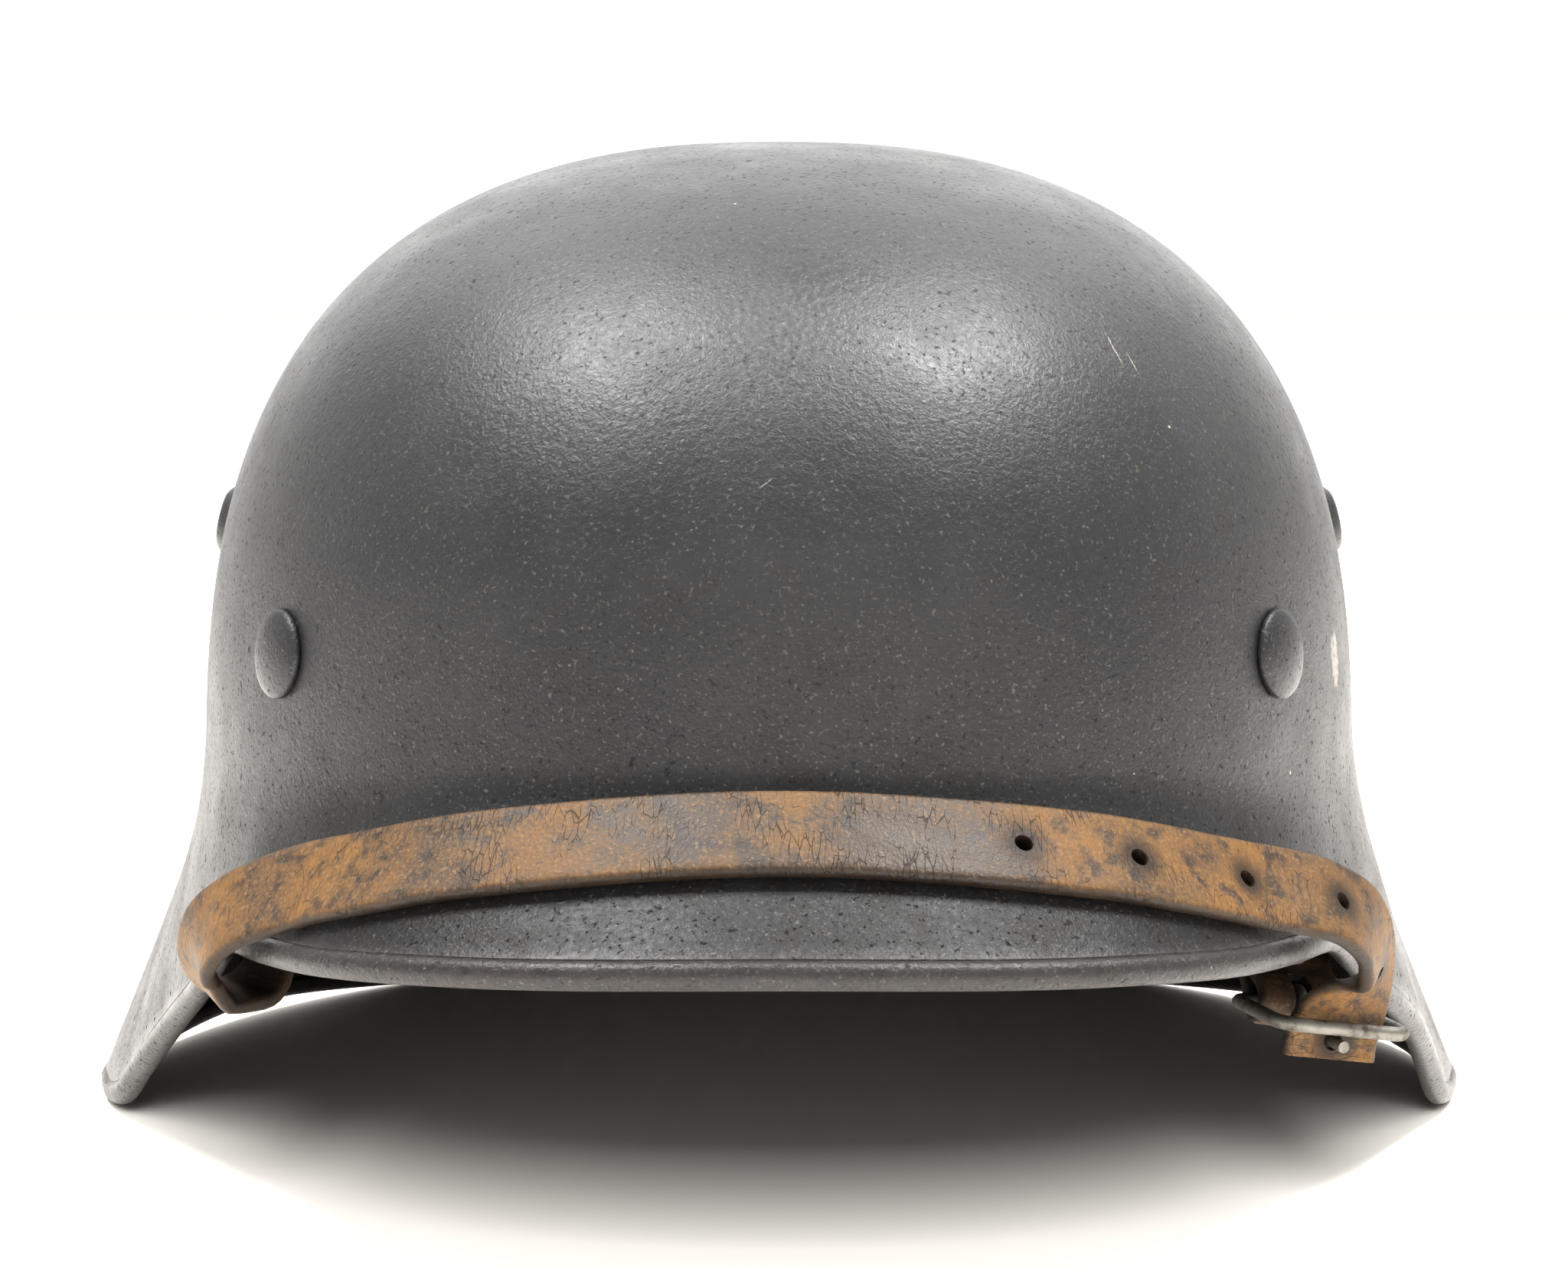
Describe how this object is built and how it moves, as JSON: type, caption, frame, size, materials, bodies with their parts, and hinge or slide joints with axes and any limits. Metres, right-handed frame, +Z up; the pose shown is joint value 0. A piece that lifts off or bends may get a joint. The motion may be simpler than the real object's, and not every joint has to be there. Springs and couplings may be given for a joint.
{
  "type": "pressed steel helmet with a chin strap",
  "caption": "Deep steel helmet with a short visor, flared ears and neck guard and a rolled rim; a worn leather chin strap lies over the visor and is buckled at one side.",
  "frame": {"origin": "centre of the bounding box, on the level surface that the rim stands on; the dome's upright axis passes through it", "axes": "+Z up, -Y to the front of the helmet (the visor), +X to the side with the buckle"},
  "size_m": [0.2402, 0.2848, 0.1665],
  "materials": {
    "painted_steel": "satin, dark slate grey, worn and speckled",
    "dull_steel": "dull, tarnished",
    "brown_leather": "old and cracked, with dark patches"
  },
  "bodies": {
    "root": {"shell": "painted_steel", "rivet_front_left": "painted_steel", "rivet_front_right": "painted_steel", "rivet_back": "painted_steel", "liner_band": "dull_steel", "buckle_frame": "dull_steel", "buckle_tongue": "dull_steel", "chin_strap_long": "brown_leather", "chin_strap_short": "brown_leather", "strap_stud_left": "dull_steel", "strap_stud_right": "dull_steel", "buckle_stud": "dull_steel"}
  },
  "joints": []
}
